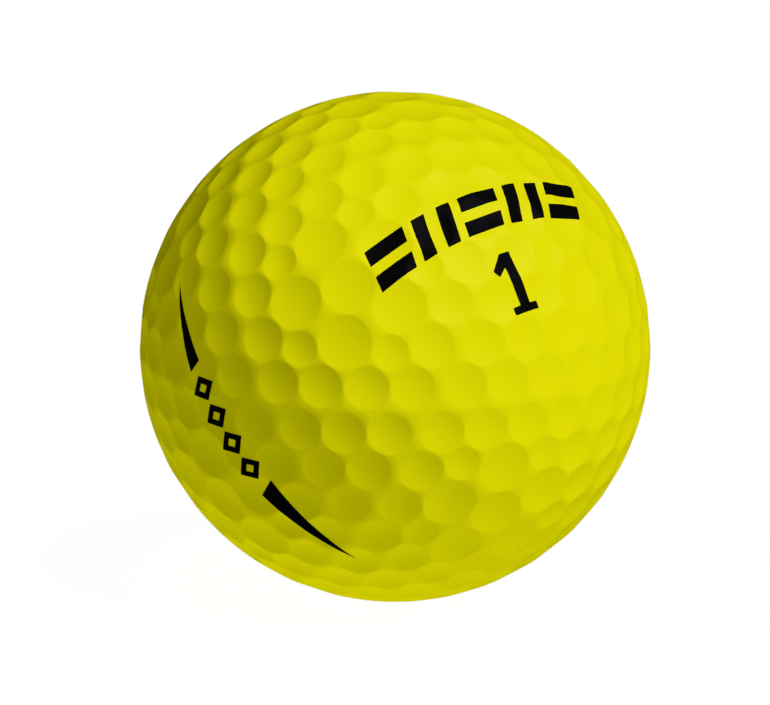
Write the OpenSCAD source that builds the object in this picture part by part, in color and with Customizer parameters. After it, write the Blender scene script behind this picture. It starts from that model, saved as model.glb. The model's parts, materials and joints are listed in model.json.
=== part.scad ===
// Two-piece golf ball: a solid rubber core inside two moulded half shells that
// are fused at the equator, with 432 dimples in an icosahedral layout and
// pad-printed ink marks. The origin is the centre of the ball. The seam lies
// in the XY plane, +Z runs through one pole dimple, and a mirror plane of the
// layout faces -Y.

/* [Ball] */
// Diameter over the lands between the dimples
ball_d = 42.7; // [42.67:0.01:43.5]
// Diameter of the rubber core
core_d = 38.4; // [36:0.1:40]
// Thickness of the printed ink film
ink_t = 0.02; // [0.01:0.005:0.05]

/* [Dimples] */
// Rim diameter of the large dimples, one hub and five petals at each vertex
large_d = 4.4; // [3.8:0.05:4.4]
// Depth of the large dimples below the ball's sphere
large_depth = 0.31; // [0.2:0.01:0.4]
// Rim diameter of the medium dimples
medium_d = 3.6; // [3:0.05:3.6]
// Depth of the medium dimples
medium_depth = 0.27; // [0.15:0.01:0.4]
// Rim diameter of the small dimples
small_d = 2.95; // [2.4:0.05:2.95]
// Depth of the small dimples
small_depth = 0.22; // [0.1:0.01:0.3]

/* [Dimple layout] */
// Angle from a vertex to the large petal dimples round it
petal_at = 11.95; // [11.9:0.01:12]
// Angle from a vertex to the small dimples, on the line to the next vertex
small_at = 16.9; // [16.85:0.01:16.95]
// Angle from a vertex to the paired dimples
pair_at = 22.15; // [22.1:0.01:22.2]
// Angle of each paired dimple to the side of the line to the face centre
pair_side = 13.5; // [13.4:0.01:13.6]
// Angle from a vertex to the dimples behind the small ones
outer_at = 25.9; // [25.85:0.01:25.95]
// Angle from a vertex to the dimples round each face centre
face_at = 31.6; // [31.55:0.01:31.65]
// Angle along a face's edge line from its midpoint to the edge dimples
edge_at = 9.5; // [9.4:0.01:9.6]

/* [Printing pads] */
// Latitude from which the nameplate's pad comes down
plate_pad_lat = 30; // [0:0.5:60]
// Longitude from which it comes down
plate_pad_lon = -66; // [-180:0.5:180]
// Latitude from which the side stamp's pad comes in
stamp_pad_lat = 14; // [-20:0.5:40]
// Longitude from which it comes in
stamp_pad_lon = -79; // [-180:0.5:180]

/* [Nameplate mark] */
// Latitude of the middle of the arc mark
plate_lat = 43; // [30:0.5:60]
// Longitude of the middle of the arc mark
plate_lon = -52.5; // [-180:0.5:180]
// Turn of its reading direction up from due east
plate_turn = 12; // [-90:0.5:90]
// Height of the arc mark
plate_h = 3.5; // [2:0.1:4.5]
// Angular radius of its arc
plate_arc = 70; // [45:1:89]
// Number of glyphs along the arc
glyph_count = 5; // [3:1:5]
// Spacing of the glyphs along the arc
glyph_pitch = 4.4; // [4.2:0.1:5]
// Width of each glyph
glyph_w = 3.6; // [2.5:0.1:3.8]
// Height of the bars
bar_h = 1.3; // [0.6:0.05:1.5]
// Width of the slashes
slash_w = 1.25; // [0.6:0.05:1.5]
// Forward slant of the glyphs
glyph_slant = 16; // [0:1:25]

/* [Play number] */
// Drop from the middle of the arc mark to the middle of the numeral
number_drop = 6.45; // [5.5:0.05:8]
// Height of the numeral
number_h = 5.1; // [3:0.1:6]
// Width of its stem
number_stem = 1; // [0.5:0.05:1.2]
// Width of its foot
number_foot = 2.5; // [1.5:0.1:3]
// Height of its foot
foot_h = 0.65; // [0.4:0.05:0.9]
// Reach of the flag at its top
number_flag = 1.2; // [0.8:0.1:1.6]

/* [Side stamp] */
// Latitude of the middle of the side stamp
stamp_lat = -7.5; // [-20:0.5:20]
// Longitude of the middle of the side stamp
stamp_lon = -119.5; // [-180:0.5:180]
// Turn of its reading direction up from due east
stamp_turn = -55.5; // [-90:0.5:90]
// Number of open diamonds in the middle
diamond_count = 4; // [2:1:4]
// Spacing of the diamonds
diamond_pitch = 2.5; // [2.4:0.1:2.6]
// Width of the diamonds
diamond_w = 2.2; // [1.5:0.1:2.2]
// Height of the diamonds
diamond_h = 2.7; // [2:0.1:3.2]
// Size of each diamond's opening as a share of the diamond
diamond_open = 0.4; // [0.2:0.05:0.6]
// Length of the taper on the left
left_taper = 7.7; // [4:0.1:9]
// Width of the taper on the left at its blunt end
left_taper_w = 1.4; // [0.8:0.1:2.2]
// Length of the taper on the right
right_taper = 9.9; // [4:0.1:11]
// Width of the taper on the right at its blunt end
right_taper_w = 2; // [0.8:0.1:2.4]
// Gap between the diamonds and each taper's blunt end
taper_gap = 0.5; // [0.3:0.1:1.5]

/* [Hidden] */

ball_r = ball_d / 2;
core_r = core_d / 2;
rise = 0.4;             // how far a cutter stands proud of the ball's sphere
rim_clearance = 0.012;  // a cutter's wall stands this far outside its dimple's rim
edge_piece = 1.2;       // an outline's edges are split to about this length to wrap the ball
cover_yellow = [0.87, 0.86, 0.0];
rubber_grey = [0.30, 0.42, 0.44];
ink_black = [0.02, 0.02, 0.02];

// Angle between neighbouring vertices of an icosahedron, and half of it
vertex_step = atan(2);
half_step = vertex_step / 2;

function unit(v) = v / norm(v);
function polar(from_z, turn) = [sin(from_z) * cos(turn), sin(from_z) * sin(turn), cos(from_z)];

// The twelve vertices, each with the direction of one neighbour. The first
// entry of each half is its pole, and its ring of five follows.
function ring_vertex(side, k) =
    polar(side > 0 ? vertex_step : 180 - vertex_step, (side > 0 ? -90 : -54) + 72 * k);
function half_vertices(side) = concat(
    [[[0, 0, side], ring_vertex(side, 0)]],
    [for (k = [0:4]) [ring_vertex(side, k), [0, 0, side]]]
);
vertices = concat(half_vertices(1), half_vertices(-1));

// The dimples that belong to one vertex and one of its five neighbours: the
// angle from the vertex, the turn from the line to the neighbour, and the size.
edge_from_vertex = acos(cos(half_step) * cos(edge_at));
edge_turn = atan2(tan(edge_at), sin(half_step));
hub = [0, 0, 2];
sector = [
    [petal_at, 36, 2],
    [small_at, 0, 0],
    [pair_at, 36 - pair_side, 1],
    [pair_at, 36 + pair_side, 1],
    [outer_at, 0, 1],
    [face_at, 36, 1],
    [edge_from_vertex, edge_turn, 1]
];
// Rim diameter and depth of the small, medium and large dimples
sizes = [[small_d, small_depth], [medium_d, medium_depth], [large_d, large_depth]];

function about_vertex(v, from_v, turn) =
    let (w = v[0], u = unit(v[1] - (v[1] * w) * w), s = polar(from_v, turn))
    s[0] * u + s[1] * cross(w, u) + s[2] * w;
// Every dimple as its direction and its size
dimples = concat(
    [for (v = vertices) [v[0], hub[2]]],
    [for (v = vertices, k = [0:4], s = sector) [about_vertex(v, s[0], s[1] + 72 * k), s[2]]]
);

// Sag of a dimple's bottom below its rim, and the radius of its sphere
function sag(size) = size[1] - ball_r + sqrt(pow(ball_r, 2) - pow(size[0] / 2, 2));
function bowl_r(size) = (pow(size[0] / 2, 2) + pow(sag(size), 2)) / (2 * sag(size));

// Turns what stands on +Z to point along a direction.
module point_along(v) rotate([0, acos(v[2] / norm(v)), atan2(v[1], v[0])]) children();

// A place on the ball as its reading direction, its upright and its outward normal.
function east(lon) = [-sin(lon), cos(lon), 0];
function north(lat, lon) = [-sin(lat) * cos(lon), -sin(lat) * sin(lon), cos(lat)];
function place(lat, lon, turn) = [
    cos(turn) * east(lon) + sin(turn) * north(lat, lon),
    cos(turn) * north(lat, lon) - sin(turn) * east(lon),
    [cos(lat) * cos(lon), cos(lat) * sin(lon), sin(lat)]
];
// Each mark's place, with its pad's place as the last entry.
plate = concat(place(plate_lat, plate_lon, plate_turn), [place(plate_pad_lat, plate_pad_lon, 0)]);
side = concat(place(stamp_lat, stamp_lon, stamp_turn), [place(stamp_pad_lat, stamp_pad_lon, 0)]);

// One dimple's cutter. A film above the surface has its bowl smaller by lift.
module dimple_cutter(dimple, lift = 0) {
    size = sizes[dimple[1]];
    bowl = bowl_r(size);
    point_along(dimple[0]) intersection() {
        translate([0, 0, ball_r - size[1] + bowl]) sphere(r = bowl - lift, $fn = 72);
        translate([0, 0, ball_r - 1]) cylinder(h = 1 + rise, r = size[0] / 2 + rim_clearance, $fn = 36);
    }
}

module cover_half(up) color(cover_yellow) difference() {
    sphere(r = ball_r, $fn = 180);
    translate([-ball_d, -ball_d, up > 0 ? -2 * ball_d : 0]) cube(2 * ball_d);
    sphere(r = core_r, $fn = 180);
    for (d = dimples) if (d[0][2] * up > 0) dimple_cutter(d);
}

// The ball's dimpled sphere raised by lift, near one direction only.
module dimpled_ball(lift, middle, reach) difference() {
    sphere(r = ball_r + lift, $fn = 180);
    for (d = dimples) if (acos(d[0] * middle) < reach) dimple_cutter(d, lift);
}

// The marks on the back are those on the front, turned half a turn about the
// side stamp's reading direction.
turn_axis = side[0];
module to_side(back) rotate(a = back ? 180 : 0, v = turn_axis) children();
function side_dir(back, v) = back ? 2 * (v * turn_axis) * turn_axis - v : v;

// Presses a flat outline, drawn across a pad's direction, through the surface.
module pressed(pad_lat, pad_lon)
    rotate([0, 0, pad_lon]) rotate([0, 90 - pad_lat, 0]) rotate([0, 0, 90])
        linear_extrude(ball_r + rise) children();

// Ink in the shape of children that follows the lands and the dimples.
module ink_film(back, middle, reach) color(ink_black) intersection() {
    to_side(back) children();
    difference() {
        dimpled_ball(ink_t, side_dir(back, middle), reach);
        dimpled_ball(0, side_dir(back, middle), reach);
    }
}

// The ball's point at x along and y above a line through the middle of a
// place. The line is a circle of angular radius arc, a great circle for 90.
function on_ball(place, arc, x, y) =
    let (from_centre = arc + y / ball_r * 180 / PI, swing = x / (ball_r * sin(arc)) * 180 / PI)
    ball_r * cos(from_centre) * (cos(arc) * place[2] - sin(arc) * place[1])
    + ball_r * sin(from_centre) * cos(swing) * (sin(arc) * place[2] + cos(arc) * place[1])
    + ball_r * sin(from_centre) * sin(swing) * place[0];

// An outline with its longer edges split, so that they can bend with the ball.
function split(outline) = [
    for (i = [0:len(outline) - 1])
        let (from = outline[i], to = outline[(i + 1) % len(outline)])
        let (pieces = max(1, round(norm(to - from) / edge_piece)))
        for (k = [0:pieces - 1]) from + (to - from) * k / pieces
];

// An outline wrapped on the ball at a mark's place, as the mark's pad sees it.
module wrapped(mark, arc, outline)
    polygon([
        for (q = split(outline))
            let (p = on_ball(mark, arc, q[0], q[1])) [p * mark[3][0], p * mark[3][1]]
    ]);

function moved(outline, x, y = 0) = [for (q = outline) q + [x, y]];

// A block leaning forward, w wide and h high about its middle.
function slanted_block(w, h) =
    let (lean = h / 2 * tan(glyph_slant))
    [[-w / 2 - lean, -h / 2], [w / 2 - lean, -h / 2], [w / 2 + lean, h / 2], [-w / 2 + lean, h / 2]];

// Even glyphs are two bars, one above the other, and odd ones are two slashes.
module block(x, y, w, h)
    wrapped(plate, plate_arc, moved(slanted_block(w, h), x + y * tan(glyph_slant), y));
module glyph(k, x) {
    bar_y = (plate_h - bar_h) / 2;
    slash_x = (glyph_w - slash_w) / 2;
    for (s = [-1, 1]) {
        if (k % 2 == 0) block(x, s * bar_y, glyph_w, bar_h);
        else block(x + s * slash_x, 0, slash_w, plate_h);
    }
}

module arc_outline()
    for (k = [0:glyph_count - 1]) glyph(k, (k - (glyph_count - 1) / 2) * glyph_pitch);

module number_outline() {
    stem = number_stem / 2;
    foot = number_foot / 2;
    top = number_h / 2;
    numeral = [
        [-foot, -top], [foot, -top], [foot, foot_h - top], [stem, foot_h - top], [stem, top], [-stem, top],
        [-stem - number_flag, top - number_flag], [-stem - 0.7 * number_flag, top - 1.5 * number_flag],
        [-stem, top - number_flag], [-stem, foot_h - top], [-foot, foot_h - top]
    ];
    wrapped(plate, 90, moved(numeral, 0, -number_drop));
}

function rhombus(share) = [for (t = [0:90:270]) share / 2 * [diamond_w * cos(t), diamond_h * sin(t)]];

module diamond(x) difference() {
    wrapped(side, 90, moved(rhombus(1), x));
    wrapped(side, 90, moved(rhombus(diamond_open), x));
}

// A taper from its blunt end at x to its tip, which is on the right for way 1
// and on the left for way -1.
module taper(x, way, length, width)
    wrapped(side, 90, [for (q = [[0.3 * width, -width / 2], [length, 0], [0, width / 2]]) [x, 0] + way * q]);

module stamp_outline() {
    row = diamond_count * diamond_pitch / 2 + taper_gap;
    for (k = [0:diamond_count - 1]) diamond((k - (diamond_count - 1) / 2) * diamond_pitch);
    taper(row, 1, right_taper, right_taper_w);
    taper(-row, -1, left_taper, left_taper_w);
}

module arc_mark(back) ink_film(back, plate[2], 42) pressed(plate_pad_lat, plate_pad_lon) arc_outline();
module play_number(back) ink_film(back, plate[2], 34) pressed(plate_pad_lat, plate_pad_lon) number_outline();
module side_stamp(back) ink_film(back, side[2], 52) pressed(stamp_pad_lat, stamp_pad_lon) stamp_outline();

module core() color(rubber_grey) sphere(r = core_r, $fn = 180);
module cover_upper() cover_half(1);
module cover_lower() cover_half(-1);
module arc_mark_front() arc_mark(false);
module play_number_front() play_number(false);
module side_stamp_front() side_stamp(false);
module arc_mark_back() arc_mark(true);
module play_number_back() play_number(true);
module side_stamp_back() side_stamp(true);

core();
cover_upper();
cover_lower();
arc_mark_front();
play_number_front();
side_stamp_front();
arc_mark_back();
play_number_back();
side_stamp_back();
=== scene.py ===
"""Golf ball: smooth dimpled cover shells, ink marks that follow the dimples, studio floor and light."""
import json
import math

import bpy
import numpy as np
from mathutils import Matrix, Vector
from mathutils.geometry import delaunay_2d_cdt


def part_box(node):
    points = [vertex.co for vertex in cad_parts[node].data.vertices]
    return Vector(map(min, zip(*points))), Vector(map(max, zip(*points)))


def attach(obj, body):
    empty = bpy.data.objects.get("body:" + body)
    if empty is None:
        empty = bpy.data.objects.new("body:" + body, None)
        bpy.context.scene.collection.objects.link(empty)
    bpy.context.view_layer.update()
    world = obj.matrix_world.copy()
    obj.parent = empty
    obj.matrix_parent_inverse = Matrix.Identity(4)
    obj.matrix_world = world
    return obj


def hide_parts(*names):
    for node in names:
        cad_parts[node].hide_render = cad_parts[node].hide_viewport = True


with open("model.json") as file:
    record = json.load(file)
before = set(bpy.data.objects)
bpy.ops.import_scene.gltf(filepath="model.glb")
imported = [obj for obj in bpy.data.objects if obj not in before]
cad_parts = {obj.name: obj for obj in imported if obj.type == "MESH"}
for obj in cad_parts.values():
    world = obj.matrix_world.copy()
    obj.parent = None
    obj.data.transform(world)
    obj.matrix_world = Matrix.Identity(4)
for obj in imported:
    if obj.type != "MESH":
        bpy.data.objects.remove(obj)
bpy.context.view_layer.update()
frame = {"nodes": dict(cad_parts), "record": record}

# Sizes are in millimetres and degrees, unless a comment says otherwise.
MM = 0.001
seat = next(m for m in frame["record"]["mounts"] if m["name"] == "tee_seat")
BALL_R = -seat["pos_m"][2] / MM
CORE_R = max(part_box("core")[1]) / MM

# ---------------------------------------------------------------- small tools

NEAR_POLE = 0.9              # a direction with more Z than this, up or down, is near a pole
WHOLE_HULL = 0               # the triangulation's output type that keeps every triangle


def unit(v):
    return v / np.linalg.norm(v, axis=-1, keepdims=True)


def polar(from_z, turn):
    a, b = math.radians(from_z), math.radians(turn)
    return np.array([math.sin(a) * math.cos(b), math.sin(a) * math.sin(b), math.cos(a)])


def axes_across(directions):
    """Two unit vectors for each direction, square to it and to each other."""
    helper = np.where(np.abs(directions[..., 2:]) < NEAR_POLE, [0.0, 0.0, 1.0], [1.0, 0.0, 0.0])
    right = unit(np.cross(helper, directions))
    return right, np.cross(directions, right)


def full_turn(count):
    """Evenly spaced angles round a circle, in radians."""
    return np.arange(count) * 2 * math.pi / count


def neighbours(ring):
    """Each item of a closed ring with the next one."""
    return zip(ring, ring[1:] + ring[:1])


def numbered_rings(first, size, count):
    """Point numbers of rings that follow each other, from the first number on."""
    return [list(range(first + r * size, first + (r + 1) * size)) for r in range(count)]


def strips(rings):
    """Four-sided faces between each ring and the next one."""
    return [(a, c, d, b)
            for low, high in zip(rings, rings[1:])
            for (a, b), (c, d) in zip(neighbours(low), neighbours(high))]


def triangulated(points, rings, merge):
    """Triangles over flat points that begin with the rings' points, with the rings' edges kept."""
    edges, start = [], 0
    for ring in rings:
        edges += neighbours(list(range(start, start + len(ring))))
        start += len(ring)
    corners = [Vector(p) for p in points]
    out, _, triangles, origin, _, _ = delaunay_2d_cdt(corners, edges, [], WHOLE_HULL, merge)
    return out, triangles, origin


def linked(name, data):
    made = bpy.data.objects.new(name, data)
    bpy.context.scene.collection.objects.link(made)
    return made


def smooth_object(name, points, faces):
    """A smooth-shaded mesh object, from points in millimetres."""
    mesh = bpy.data.meshes.new(name)
    mesh.from_pydata((points * MM).tolist(), [], faces)
    mesh.shade_smooth()
    return linked(name, mesh)


# ---------------------------------------------------------------- the dimple layout

# Each kind of dimple as rim diameter and depth.
LARGE = (4.4, 0.31)
MEDIUM = (3.6, 0.27)
SMALL = (2.95, 0.22)

# The layout repeats in each fifth round each vertex of an icosahedron, from one neighbour to the next.
FIFTH = 72
FIRST_TURN = -90                           # turn of the upper ring's first vertex
VERTEX_STEP = math.degrees(math.atan(2))   # from a vertex to a neighbour
PETAL_AT = 11.95             # the large dimple in the middle of the fifth
SMALL_AT = 16.9              # the small one on the line to the neighbour
PAIR_AT = 22.15              # two medium ones beside the middle
PAIR_SIDE = 13.5             # the turn from the middle to each of the two
OUTER_AT = 25.9              # the medium one on the line to the neighbour
FACE_AT = 31.6               # the medium one in the middle, near the face's centre
EDGE_AT = 9.5                # the medium one beside the line's middle, as the angle from there


def icosahedron():
    """The twelve vertices, each with the direction of one neighbour."""
    pairs = []
    for side, first in ((1, FIRST_TURN), (-1, FIRST_TURN + FIFTH / 2)):
        pole = np.array([0.0, 0.0, side])
        from_z = VERTEX_STEP if side > 0 else 180 - VERTEX_STEP
        ring = [polar(from_z, first + FIFTH * k) for k in range(5)]
        pairs.append((pole, ring[0]))
        pairs += [(v, pole) for v in ring]
    return pairs


def one_fifth():
    """The dimples of one fifth: angle from the vertex, turn from the neighbour, and kind."""
    middle = FIFTH / 2
    half, along = math.radians(VERTEX_STEP / 2), math.radians(EDGE_AT)
    edge_from_vertex = math.degrees(math.acos(math.cos(half) * math.cos(along)))
    edge_turn = math.degrees(math.atan2(math.tan(along), math.sin(half)))
    return [
        (PETAL_AT, middle, LARGE),
        (SMALL_AT, 0, SMALL),
        (PAIR_AT, middle - PAIR_SIDE, MEDIUM),
        (PAIR_AT, middle + PAIR_SIDE, MEDIUM),
        (OUTER_AT, 0, MEDIUM),
        (FACE_AT, middle, MEDIUM),
        (edge_from_vertex, edge_turn, MEDIUM),
    ]


def dimple_layout():
    """Every dimple's direction, rim diameter and depth."""
    where, size = [], []
    for vertex, neighbour in icosahedron():
        ahead = unit(neighbour - (neighbour @ vertex) * vertex)
        aside = np.cross(vertex, ahead)
        where.append(vertex)
        size.append(LARGE)
        for k in range(5):
            for from_vertex, turn, kind in one_fifth():
                x, y, z = polar(from_vertex, turn + FIFTH * k)
                where.append(x * ahead + y * aside + z * vertex)
                size.append(kind)
    return np.array(where), np.array(size)


# ---------------------------------------------------------------- the dimpled surface

RIM_SOFTNESS = 0.035         # how far the rim's rounding reaches in depth
RIM_MARGIN = 0.02            # radians outside the rim where the rounding has ended
NORMAL_STEP = 0.0004         # radians
ROWS_AT_ONCE = 20000         # keeps the table of points and dimples small

CENTRES, SIZES = dimple_layout()
RIM_R = SIZES[:, 0] / 2
RIM_ANGLE = np.arcsin(RIM_R / BALL_R)
SAG = SIZES[:, 1] - BALL_R + np.sqrt(BALL_R ** 2 - RIM_R ** 2)
BOWL_R = (RIM_R ** 2 + SAG ** 2) / (2 * SAG)
BOWL_AT = BALL_R - SIZES[:, 1] + BOWL_R
REACH = np.cos(RIM_ANGLE + RIM_MARGIN)


def surface_r(directions):
    """The cover's radius along each direction: the ball's sphere, less each bowl with a rounded rim."""
    radius = np.full(len(directions), BALL_R)
    for start in range(0, len(directions), ROWS_AT_ONCE):
        cosine = directions[start:start + ROWS_AT_ONCE] @ CENTRES.T
        row, dimple = np.nonzero(cosine > REACH)
        near = cosine[row, dimple]
        at, bowl = BOWL_AT[dimple], BOWL_R[dimple]
        depth = BALL_R - (at * near - np.sqrt(np.maximum(bowl ** 2 - at ** 2 * (1 - near ** 2), 0)))
        soft = np.maximum(RIM_SOFTNESS - np.abs(depth), 0) / RIM_SOFTNESS
        cut = np.maximum(depth, 0) + soft ** 2 * RIM_SOFTNESS / 4
        radius[start:start + ROWS_AT_ONCE] -= np.bincount(row, cut, minlength=len(cosine))
    return radius


def surface_points(directions):
    return directions * surface_r(directions)[:, None]


def surface_normals(directions):
    """Normals of the rounded surface, from small steps to two sides."""
    along, across = (
        surface_points(unit(directions + NORMAL_STEP * side))
        - surface_points(unit(directions - NORMAL_STEP * side))
        for side in axes_across(directions)
    )
    return unit(np.cross(along, across))


# ---------------------------------------------------------------- cover shells

RING_POINTS = 20                                   # points on a dimple's ring, per mm of rim radius
RINGS_IN_BOWL = (0.17, 0.34, 0.51, 0.67, 0.81)     # shares of the bowl's angle
BOWL_SHARE = 0.93                                  # the bowl's angle as a share of the rim's
RINGS_AT_RIM = (-0.24, -0.15, -0.07, 0.0)          # distances from the rim
LAND_RING = 0.018                                  # the last ring stands this far outside the rim
SEAM_POINTS = 720
INNER_POINTS = 240
INNER_RINGS = 20
LAND_MERGE = 1e-9                                  # points this near in the flat map become one


def ring_angles(rim_angle):
    bowl = [share * rim_angle * BOWL_SHARE for share in RINGS_IN_BOWL]
    return bowl + [rim_angle + d / BALL_R for d in RINGS_AT_RIM + (LAND_RING,)]


def dimple_grid(centre, rim_angle, rim_r, first):
    """Rings of points round one dimple, the faces between them, and the last ring's numbers."""
    count = int(round(rim_r * RING_POINTS))
    right, up = axes_across(centre)
    turn = full_turn(count)[:, None]
    round_it = np.cos(turn) * right + np.sin(turn) * up
    angles = ring_angles(rim_angle)
    points = [centre[None]] + [math.cos(a) * centre + math.sin(a) * round_it for a in angles]
    rings = numbered_rings(first + 1, count, len(angles))
    faces = [(first, a, b) for a, b in neighbours(rings[0])] + strips(rings)
    return np.vstack(points), faces, rings[-1]


def land_faces(directions, rings, side):
    """Triangles that fill the land between the dimples' last rings and the seam ring."""
    used = [i for ring in rings for i in ring]
    owner = [number for number, ring in enumerate(rings) for _ in ring]
    seam = len(rings) - 1
    corners = directions[used]
    flat_map = corners[:, :2] / (1 + side * corners[:, 2:])
    _, triangles, origin = triangulated(flat_map, rings, LAND_MERGE)
    faces = []
    for triangle in triangles:
        a, b, c = (origin[k][0] for k in triangle)
        in_a_dimple = owner[a] == owner[b] == owner[c] != seam
        if not in_a_dimple:
            faces.append((used[a], used[b], used[c]))
    return faces


def outward(faces, points):
    """The faces, each wound so that its normal points away from the centre."""
    wound = []
    for face in faces:
        a, b, c = points[face[0]], points[face[1]], points[face[2]]
        points_out = np.cross(b - a, c - a) @ (a + b + c) > 0
        wound.append(face if points_out else face[::-1])
    return wound


def outer_face(side):
    """The dimpled side of a shell: its points' directions, its faces and its seam ring."""
    points, faces, rings, count = [], [], [], 0
    for centre, rim_angle, rim_r in zip(CENTRES, RIM_ANGLE, RIM_R):
        if centre[2] * side < 0:
            continue
        dimple_points, dimple_faces, last_ring = dimple_grid(centre, rim_angle, rim_r, count)
        points.append(dimple_points)
        faces += dimple_faces
        rings.append(last_ring)
        count += len(dimple_points)
    turn = full_turn(SEAM_POINTS)
    points.append(np.stack([np.cos(turn), np.sin(turn), np.zeros(SEAM_POINTS)], 1))
    rings += numbered_rings(count, SEAM_POINTS, 1)
    directions = np.vstack(points)
    faces += land_faces(directions, rings, side)
    return directions, faces, rings[-1]


def inner_face(side, first):
    """The shell's inside on the core: its points, its faces and its seam ring."""
    turn = full_turn(INNER_POINTS)
    points = []
    for r in range(INNER_RINGS):
        lift = r / INNER_RINGS * math.pi / 2
        ring = np.stack([np.cos(turn) * math.cos(lift), np.sin(turn) * math.cos(lift),
                         np.full(INNER_POINTS, side * math.sin(lift))], 1)
        points.append(ring * CORE_R)
    points.append(np.array([[0.0, 0.0, side * CORE_R]]))
    rings = numbered_rings(first, INNER_POINTS, INNER_RINGS)
    pole = first + INNER_RINGS * INNER_POINTS
    faces = strips(rings) + [(a, pole, b) for a, b in neighbours(rings[-1])]
    if side < 0:
        faces = [face[::-1] for face in faces]
    return np.vstack(points), faces, rings[0]


def seam_faces(side, outer_ring, inner_ring):
    """The flat faces between the two seam rings."""
    step = SEAM_POINTS // INNER_POINTS
    faces = []
    for k, (a, b) in enumerate(neighbours(inner_ring)):
        part = [outer_ring[(k * step + s) % SEAM_POINTS] for s in range(step + 1)]
        faces.append((a, *part, b))
    return [face[::-1] for face in faces] if side > 0 else faces


def cover_shell(name, side):
    """One closed half shell, with exact normals on its dimpled side."""
    directions, outer_faces, outer_ring = outer_face(side)
    outer = surface_points(directions)
    inner, inner_faces, inner_ring = inner_face(side, len(outer))
    curved = outward(outer_faces, outer) + inner_faces
    flat = seam_faces(side, outer_ring, inner_ring)
    shell = smooth_object(name, np.vstack([outer, inner]), curved + flat)
    normals = np.vstack([surface_normals(directions), -unit(inner)])
    corner_normals = normals[[i for face in curved for i in face]].tolist()
    corner_normals += [(0.0, 0.0, -side)] * sum(len(face) for face in flat)
    shell.data.normals_split_custom_set(corner_normals)
    return shell


# ---------------------------------------------------------------- outlines of the printed marks

# Each mark is a list of films. A film is a list of loops, the outside and then any hole.
GREAT_CIRCLE = 90            # a circle on the ball, as the angle from its centre to the circle
GLYPH_CIRCLE = 70            # the one through the middle of the glyphs
GLYPHS = 5
GLYPH_PITCH = 4.4
GLYPH_W = 3.6
GLYPH_H = 3.5
GLYPH_SLANT = 16
BAR_H = 1.3
SLASH_W = 1.25

NUMBER_DROP = 6.45           # from the glyphs' middle to the numeral's middle
NUMBER_H = 5.1
NUMBER_STEM = 1.0
NUMBER_FOOT = 2.5
FOOT_H = 0.65
FLAG = 1.2
FLAG_LEFT = 0.7 * FLAG       # the flag's lower corner, from the stem
FLAG_DOWN = 1.5 * FLAG       # and from the numeral's top

DIAMONDS = 4
DIAMOND_PITCH = 2.5
DIAMOND_W = 2.2
DIAMOND_H = 2.7
DIAMOND_OPEN = 0.4           # the hole as a share of the diamond
LEFT_TAPER = (7.7, 1.4)      # length and width
RIGHT_TAPER = (9.9, 2.0)
TAPER_GAP = 0.5              # from the end of the last diamond's pitch to the taper
TAPER_LEAN = 0.3             # slant of a taper's blunt end, as a share of its width


def moved(outline, x, y=0.0):
    return [(a + x, b + y) for a, b in outline]


def slanted_block(w, h):
    lean = h / 2 * math.tan(math.radians(GLYPH_SLANT))
    return [(-w / 2 - lean, -h / 2), (w / 2 - lean, -h / 2), (w / 2 + lean, h / 2), (-w / 2 + lean, h / 2)]


def arc_mark():
    """A row of glyphs, which are two bars and two slashes by turns."""
    films = []
    for k in range(GLYPHS):
        x = (k - (GLYPHS - 1) / 2) * GLYPH_PITCH
        for side in (-1, 1):
            if k % 2 == 0:
                y = side * (GLYPH_H - BAR_H) / 2
                lean = y * math.tan(math.radians(GLYPH_SLANT))
                films.append([moved(slanted_block(GLYPH_W, BAR_H), x + lean, y)])
            else:
                apart = (GLYPH_W - SLASH_W) / 2
                films.append([moved(slanted_block(SLASH_W, GLYPH_H), x + side * apart)])
    return films


def play_number():
    """The numeral 1, with a flag and a foot."""
    stem, top, foot = NUMBER_STEM / 2, NUMBER_H / 2, NUMBER_FOOT / 2
    foot_top = FOOT_H - top
    numeral = [(-foot, -top), (foot, -top), (foot, foot_top), (stem, foot_top), (stem, top), (-stem, top),
               (-stem - FLAG, top - FLAG), (-stem - FLAG_LEFT, top - FLAG_DOWN), (-stem, top - FLAG),
               (-stem, foot_top), (-foot, foot_top)]
    return [[moved(numeral, 0, -NUMBER_DROP)]]


def rhombus(share):
    return [(share / 2 * DIAMOND_W * math.cos(t), share / 2 * DIAMOND_H * math.sin(t))
            for t in (0, math.pi / 2, math.pi, 3 * math.pi / 2)]


def taper(x, way, length, width):
    """A taper from its blunt end at x to its tip, on the right for way 1 and the left for way -1."""
    corners = ((TAPER_LEAN * width, -width / 2), (length, 0), (0, width / 2))
    return [(x + way * a, way * b) for a, b in corners]


def side_stamp():
    """A row of open diamonds between two tapers."""
    films = []
    for k in range(DIAMONDS):
        x = (k - (DIAMONDS - 1) / 2) * DIAMOND_PITCH
        films.append([moved(rhombus(1), x), moved(rhombus(DIAMOND_OPEN), x)])
    row = DIAMONDS * DIAMOND_PITCH / 2 + TAPER_GAP
    return films + [[taper(row, 1, *RIGHT_TAPER)], [taper(-row, -1, *LEFT_TAPER)]]


# ---------------------------------------------------------------- ink films on the cover

INK_T = 0.02                 # how far a film stands above the cover
INK_ROOT = 0.01              # how far its underside stands in the cover
INK_GRID = 0.12              # spacing of the points that follow the dimples under the ink
GRID_MARGIN = 0.6 * INK_GRID         # a grid point this near to an outline's point is left out
CORNER_R = 0.06              # rounding of the printed corners
CORNER_SHARE = 0.3           # a rounding takes no more of a side than this
CORNER_STEPS = (0, 0.25, 0.5, 0.75, 1)       # points along a rounding, from side to side
INK_MERGE = 1e-7             # points this near become one
PRESS_STEPS = 12             # rounds of moving a film's points onto the cover
SHARP_ANGLE = 50             # a film's edges that turn more than this stay sharp


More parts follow.
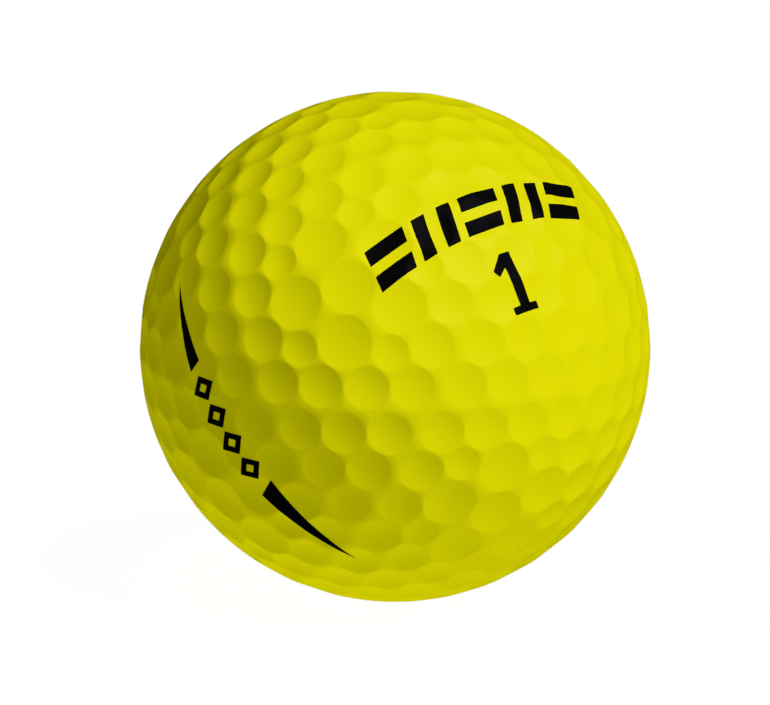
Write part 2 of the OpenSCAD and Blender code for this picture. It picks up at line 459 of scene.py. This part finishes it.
def place(lat, lon, turn=0):
    """A place on the ball, as its reading direction, its upright and its outward normal."""
    a, b, t = math.radians(lat), math.radians(lon), math.radians(turn)
    east = np.array([-math.sin(b), math.cos(b), 0.0])
    north = np.array([-math.sin(a) * math.cos(b), -math.sin(a) * math.sin(b), math.cos(a)])
    out = np.array([math.cos(a) * math.cos(b), math.cos(a) * math.sin(b), math.sin(a)])
    return np.array([math.cos(t) * east + math.sin(t) * north,
                     math.cos(t) * north - math.sin(t) * east, out])


PLATE = place(lat=43, lon=-52.5, turn=12)            # the arc mark and the play number
PLATE_PAD = place(lat=30, lon=-66)                   # and the pad that prints both
STAMP = place(lat=-7.5, lon=-119.5, turn=-55.5)      # the side stamp
STAMP_PAD = place(lat=14, lon=-79)


def wrapped(at, pad, circle, outline):
    """An outline wrapped on the ball along a circle through a place, as the pad sees it."""
    x, y = outline[:, 0] / BALL_R, outline[:, 1] / BALL_R
    circle = math.radians(circle)
    from_centre, swing = circle + y, x / math.sin(circle)
    centre = math.cos(circle) * at[2] - math.sin(circle) * at[1]
    middle = math.sin(circle) * at[2] + math.cos(circle) * at[1]
    on_ball = (np.outer(np.cos(from_centre), centre)
               + np.outer(np.sin(from_centre) * np.cos(swing), middle)
               + np.outer(np.sin(from_centre) * np.sin(swing), at[0]))
    return on_ball @ pad[:2].T * BALL_R


def rounded(loop):
    """The loop with small arcs at its corners and points no further apart than the ink grid."""
    corners = [np.array(p, float) for p in loop]
    arcs = []
    for before, corner, after in zip(corners[-1:] + corners[:-1], corners, corners[1:] + corners[:1]):
        back, on = before - corner, after - corner
        cut = min(CORNER_R, CORNER_SHARE * np.linalg.norm(back), CORNER_SHARE * np.linalg.norm(on))
        a, b = corner + unit(back) * cut, corner + unit(on) * cut
        arcs += [(1 - t) ** 2 * a + 2 * t * (1 - t) * corner + t ** 2 * b for t in CORNER_STEPS]
    fine = []
    for a, b in neighbours(arcs):
        pieces = max(1, math.ceil(np.linalg.norm(b - a) / INK_GRID))
        fine += [a + (b - a) * k / pieces for k in range(pieces)]
    return np.array(fine)


def inside(points, loops):
    """Even-odd test of points against all loops."""
    odd = np.zeros(len(points), bool)
    for loop in loops:
        for (x0, y0), (x1, y1) in zip(loop, np.roll(loop, -1, axis=0)):
            if y0 == y1:
                continue
            crosses = (y0 > points[:, 1]) != (y1 > points[:, 1])
            odd ^= crosses & (points[:, 0] < (x1 - x0) * (points[:, 1] - y0) / (y1 - y0) + x0)
    return odd


def distance_to(points, loops):
    """The distance from each point to the loops' nearest point."""
    nearest = np.full(len(points), np.inf)
    for loop in loops:
        for corner in loop:
            nearest = np.minimum(nearest, np.hypot(*(points - corner).T))
    return nearest


def flat_film(loops):
    """Points and triangles of a flat film, with a grid inside so that it can follow the dimples."""
    low, high = np.min(loops[0], 0), np.max(loops[0], 0)
    columns, rows = (np.arange(a, b, INK_GRID) for a, b in zip(low, high))
    grid = np.stack(np.meshgrid(columns, rows), -1).reshape(-1, 2)
    grid = grid[inside(grid, loops)]
    grid = grid[distance_to(grid, loops) > GRID_MARGIN]
    out, triangles, _ = triangulated(np.vstack(loops + [grid]), loops, INK_MERGE)
    points = np.array([tuple(p) for p in out])
    triangles = np.array(triangles)
    return points, triangles[inside(points[triangles].mean(1), loops)]


def anticlockwise(points, triangles):
    """The flat triangles, all wound anticlockwise."""
    a, b, c = (points[triangles[:, k]] for k in range(3))
    flip = np.cross(b - a, c - a) < 0
    triangles[flip] = triangles[flip][:, ::-1]
    return triangles


def film_faces(triangles, first, count):
    """A film's top, its underside and the walls between them, from its first point's number on."""
    top = [tuple(int(i) + first for i in t) for t in triangles]
    under = [tuple(i + count for i in reversed(t)) for t in top]
    edges = {(t[k], t[(k + 1) % 3]) for t in top for k in range(3)}
    rim = [(a, b) for a, b in edges if (b, a) not in edges]
    walls = [(b, a, a + count, b + count) for a, b in rim]
    return top + under + walls


def pressed(flat, pad, offset):
    """Flat points in the pad's plane, pressed on the cover along the pad's direction."""
    across = (flat ** 2).sum(1)
    z = np.sqrt(BALL_R ** 2 - across)
    for _ in range(PRESS_STEPS):
        radius = surface_r(unit(np.column_stack([flat, z])) @ pad) + offset
        z = np.sqrt(radius ** 2 - across)
    return np.column_stack([flat, z]) @ pad


def ink_mark(name, films, at, pad, circle, turn):
    """One mark as closed films that follow the lands and the dimples."""
    points, faces, first = [], [], 0
    for loops in films:
        flat, triangles = flat_film([wrapped(at, pad, circle, rounded(loop)) for loop in loops])
        faces += film_faces(anticlockwise(flat, triangles), first, len(flat))
        points += [pressed(flat, pad @ turn.T, offset) for offset in (INK_T, -INK_ROOT)]
        first += 2 * len(flat)
    mark = smooth_object(name, np.vstack(points), faces)
    mark.data.set_sharp_from_angle(angle=math.radians(SHARP_ANGLE))
    return mark


# ---------------------------------------------------------------- materials

MICRON = 0.000001
NOISE_RANGE = (0.3, 0.7)     # where nearly all of a noise's values lie


def new_material(name):
    """A material, its node tree and its shader."""
    material = bpy.data.materials.new(name)
    material.use_nodes = True
    return material, material.node_tree, material.node_tree.nodes["Principled BSDF"]


def noise(tree, scale, detail, roughness=0.5):
    """Noise in the part's own coordinates, with scale in features per metre."""
    where = tree.nodes.get("Texture Coordinate") or tree.nodes.new("ShaderNodeTexCoord")
    made = tree.nodes.new("ShaderNodeTexNoise")
    made.inputs["Scale"].default_value = scale
    made.inputs["Detail"].default_value = detail
    made.inputs["Roughness"].default_value = roughness
    tree.links.new(where.outputs["Object"], made.inputs["Vector"])
    return made.outputs["Fac"]


def spread(tree, value, low, high):
    """The noise's range spread from low to high."""
    made = tree.nodes.new("ShaderNodeMapRange")
    made.inputs["From Min"].default_value = NOISE_RANGE[0]
    made.inputs["From Max"].default_value = NOISE_RANGE[1]
    made.inputs["To Min"].default_value = low
    made.inputs["To Max"].default_value = high
    tree.links.new(value, made.inputs["Value"])
    return made.outputs["Result"]


def ramp(tree, value, low, high):
    """The noise's range as colours from low to high."""
    made = tree.nodes.new("ShaderNodeValToRGB")
    for stop, position, colour in zip(made.color_ramp.elements, NOISE_RANGE, (low, high)):
        stop.position = position
        stop.color = (*colour, 1)
    tree.links.new(value, made.inputs["Fac"])
    return made.outputs["Color"]


def bump(tree, height, microns, under=None):
    made = tree.nodes.new("ShaderNodeBump")
    made.inputs["Strength"].default_value = 1.0
    made.inputs["Distance"].default_value = microns * MICRON
    tree.links.new(height, made.inputs["Height"])
    if under is not None:
        tree.links.new(under, made.inputs["Normal"])
    return made.outputs["Normal"]


def connect(tree, shader, colour, roughness, normal):
    tree.links.new(colour, shader.inputs["Base Color"])
    tree.links.new(roughness, shader.inputs["Roughness"])
    tree.links.new(normal, shader.inputs["Normal"])


def cover_material():
    """Yellow ionomer with a faint orange peel and the soft gloss of its clear coat."""
    material, tree, shader = new_material("cover_ionomer")
    tint = noise(tree, scale=90, detail=3)
    yellow = ramp(tree, tint, low=(0.82, 0.784, 0.0008), high=(0.86, 0.822, 0.0008))
    gloss = spread(tree, noise(tree, scale=700, detail=4), low=0.42, high=0.52)
    peel = bump(tree, noise(tree, scale=2600, detail=2), microns=6)
    grain = bump(tree, noise(tree, scale=9000, detail=3), microns=1.5, under=peel)
    connect(tree, shader, yellow, gloss, grain)
    shader.inputs["Specular IOR Level"].default_value = 0.25
    shader.inputs["Specular Tint"].default_value = (1.0, 0.95, 0.1, 1)
    return material


def ink_material():
    """Black pad-printing ink: slightly uneven in tone and gloss, with a fine dry texture."""
    material, tree, shader = new_material("ink")
    tone = noise(tree, scale=500, detail=4)
    black = ramp(tree, tone, low=(0.001, 0.001, 0.001), high=(0.002, 0.002, 0.0018))
    gloss = spread(tree, noise(tree, scale=1500, detail=4), low=0.45, high=0.6)
    texture = bump(tree, noise(tree, scale=7000, detail=3), microns=1.5)
    connect(tree, shader, black, gloss, texture)
    shader.inputs["Specular IOR Level"].default_value = 0.025
    return material


def core_material():
    """Blue-grey moulded rubber, matt, with filler specks and a coarse moulded grain."""
    material, tree, shader = new_material("core_rubber")
    specks = noise(tree, scale=800, detail=6, roughness=0.7)
    rubber = ramp(tree, specks, low=(0.05, 0.11, 0.13), high=(0.10, 0.18, 0.20))
    gloss = spread(tree, noise(tree, scale=1500, detail=4), low=0.6, high=0.8)
    grain = bump(tree, noise(tree, scale=3000, detail=4), microns=20)
    connect(tree, shader, rubber, gloss, grain)
    return material


def floor_material():
    """A white light table: it glows for the camera and takes a faint shadow."""
    material, tree, shader = new_material("light_table")
    dust = noise(tree, scale=3, detail=2)
    glass = ramp(tree, dust, low=(0.05, 0.05, 0.05), high=(0.06, 0.06, 0.06))
    tree.links.new(glass, shader.inputs["Base Color"])
    shader.inputs["Roughness"].default_value = 0.9
    shader.inputs["Specular IOR Level"].default_value = 0.0
    shader.inputs["Emission Color"].default_value = (1, 1, 1, 1)
    shader.inputs["Emission Strength"].default_value = 0.985
    return material


# ---------------------------------------------------------------- studio

CAMERA_AZIMUTH = 11.1
CAMERA_ELEVATION = 13.85
CAMERA_ROLL = -0.4
CAMERA_DISTANCE = 16.1       # in ball radii
SENSOR_WIDTH = 36
NEAREST = 0.01               # the camera sees things this far off, in metres
FURTHEST = 50                # up to this far
BALL_SHARE = 0.6636          # the ball's width as a share of the picture's width
BALL_RIGHT = 0.0131          # the ball's place off the picture's centre, in picture widths
BALL_UP = 0.0077
FLOOR_R = 4.0                # in metres
FLOOR_POINTS = 96

# Soft lamps as azimuth, elevation, strength, angular size, and whether they leave a sheen. All but
# the key and the front lamp shine up through the floor, which is a light table.
SUNS = (
    ("key", 68, 51, 2.33, 34, True),
    ("front", -7, 4, 0.80, 34, False),
    ("back", 191, -8, 0.9, 40, False),
    ("under_left", -130, -39, 2.0, 60, False),
    ("under_right", 103, -57, 1.65, 60, False),
)

# The film's response as exposure and tone: a soft shoulder for the ball's lit side, and white stays
# white. Its red layer holds this much more of both.
FILM = ((0.1, 0.12), (0.3, 0.38), (0.5, 0.62), (0.7, 0.76), (0.8, 0.79))
FILM_RED = 1.05


def towards(azimuth, elevation):
    """The direction from the ball to a camera or light, with azimuth 0 on -Y and 90 on +X."""
    a, e = math.radians(azimuth), math.radians(elevation)
    return Vector((math.sin(a) * math.cos(e), -math.cos(a) * math.cos(e), math.sin(e)))


def facing(back, roll=0.0):
    """The turn of a camera or light that stands in the direction back and looks at the ball."""
    look = (-back).to_track_quat("-Z", "Y").to_matrix().to_4x4()
    return look @ Matrix.Rotation(math.radians(roll), 4, "Z")


def add_camera():
    data = bpy.data.cameras.new("camera")
    camera = linked("camera", data)
    back = towards(CAMERA_AZIMUTH, CAMERA_ELEVATION)
    stand = Matrix.Translation(back * CAMERA_DISTANCE * BALL_R * MM)
    camera.matrix_world = stand @ facing(back, CAMERA_ROLL)
    half_width = math.tan(math.asin(1 / CAMERA_DISTANCE)) / BALL_SHARE
    data.sensor_width = SENSOR_WIDTH
    data.lens = SENSOR_WIDTH / 2 / half_width
    data.shift_x = -BALL_RIGHT
    data.shift_y = -BALL_UP
    data.clip_start = NEAREST
    data.clip_end = FURTHEST
    bpy.context.scene.camera = camera


def add_sun(name, azimuth, elevation, strength, softness, sheen):
    data = bpy.data.lights.new(name, "SUN")
    data.energy = strength
    data.angle = math.radians(softness)
    lamp = linked(name, data)
    lamp.matrix_world = facing(towards(azimuth, elevation))
    lamp.visible_glossy = sheen
    data.cycles.use_multiple_importance_sampling = sheen   # else some of its sheen is still sampled


def add_world():
    """A world that is white for the camera and gives no light."""
    world = bpy.data.worlds.new("studio")
    bpy.context.scene.world = world
    world.use_nodes = True
    tree = world.node_tree
    background = tree.nodes["Background"]
    background.inputs["Color"].default_value = (1, 1, 1, 1)
    path = tree.nodes.new("ShaderNodeLightPath")
    tree.links.new(path.outputs["Is Camera Ray"], background.inputs["Strength"])


def set_film():
    view = bpy.context.scene.view_settings
    view.view_transform = "Standard"
    view.use_curve_mapping = True
    for layer, gain in enumerate((FILM_RED, 1, 1)):
        for exposure, tone in FILM:
            view.curve_mapping.curves[layer].points.new(gain * exposure, gain * tone)
    view.curve_mapping.update()


def add_floor():
    """The light table. Light passes through it from below, and its own glow leaves the ball alone."""
    rim = [(FLOOR_R * math.cos(t), FLOOR_R * math.sin(t), -BALL_R * MM) for t in full_turn(FLOOR_POINTS)]
    mesh = bpy.data.meshes.new("floor")
    mesh.from_pydata(rim, [], [list(range(FLOOR_POINTS))])
    mesh.materials.append(floor_material())
    floor = linked("floor", mesh)
    floor.visible_shadow = False
    floor.visible_diffuse = False
    floor.visible_glossy = False


# ---------------------------------------------------------------- build

COVER = cover_material()
INK = ink_material()
CORE = core_material()


def dress(piece, node, material):
    piece.data.materials.append(material)
    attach(piece, "root")
    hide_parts(node)


for node, side in (("cover_upper", 1), ("cover_lower", -1)):
    dress(cover_shell(node + "_shell", side), node, COVER)

MARKS = (
    ("arc_mark", arc_mark(), PLATE, PLATE_PAD, GLYPH_CIRCLE),
    ("play_number", play_number(), PLATE, PLATE_PAD, GREAT_CIRCLE),
    ("side_stamp", side_stamp(), STAMP, STAMP_PAD, GREAT_CIRCLE),
)
no_turn = np.eye(3)
half_turn = 2 * np.outer(STAMP[0], STAMP[0]) - no_turn      # about the stamp's reading direction
for where, turn in (("front", no_turn), ("back", half_turn)):
    for mark, films, at, pad, circle in MARKS:
        node = f"{mark}_{where}"
        dress(ink_mark(node + "_ink", films, at, pad, circle, turn), node, INK)

core = frame["nodes"]["core"]
core.data.materials.clear()
core.data.materials.append(CORE)

add_floor()
add_world()
for sun in SUNS:
    add_sun(*sun)
add_camera()
set_film()
